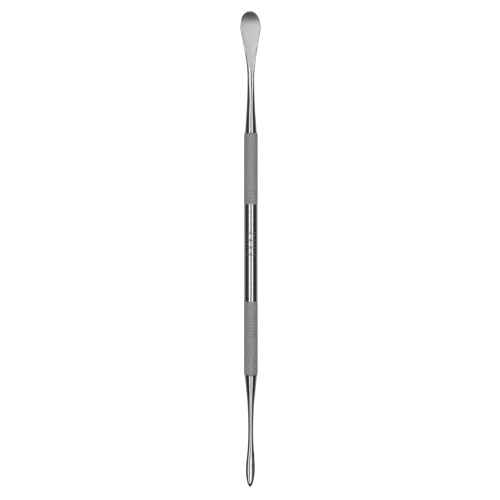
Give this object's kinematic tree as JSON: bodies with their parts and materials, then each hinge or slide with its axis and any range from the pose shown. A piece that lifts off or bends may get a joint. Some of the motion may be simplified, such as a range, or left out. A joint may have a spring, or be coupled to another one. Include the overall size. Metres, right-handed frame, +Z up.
{
  "type": "cuticle pusher",
  "caption": "Slim steel cuticle pusher: a knurled bar handle with a smooth middle band, a flat dished spoon blade at one end and a small pointed leaf blade at the other.",
  "frame": {"origin": "on the surface the tool lies on, midway between its two tips, under the bar's axis", "axes": "+Y along the bar towards the spoon end, +Z up, the way the spoon's working face looks, +X to the right with the spoon end pointing away"},
  "size_m": [0.007, 0.16, 0.0047],
  "materials": {
    "handle_steel": "turned and polished stainless steel bar with a fine diamond knurl rolled into both grips",
    "satin_steel": "stainless steel, satin ground on the spoon's working face and polished along its neck and shank",
    "polished_steel": "mirror polished stainless steel"
  },
  "bodies": {
    "root": {"handle_bar": "handle_steel", "spoon_pusher_end": "satin_steel", "lance_end": "polished_steel"}
  },
  "joints": []
}
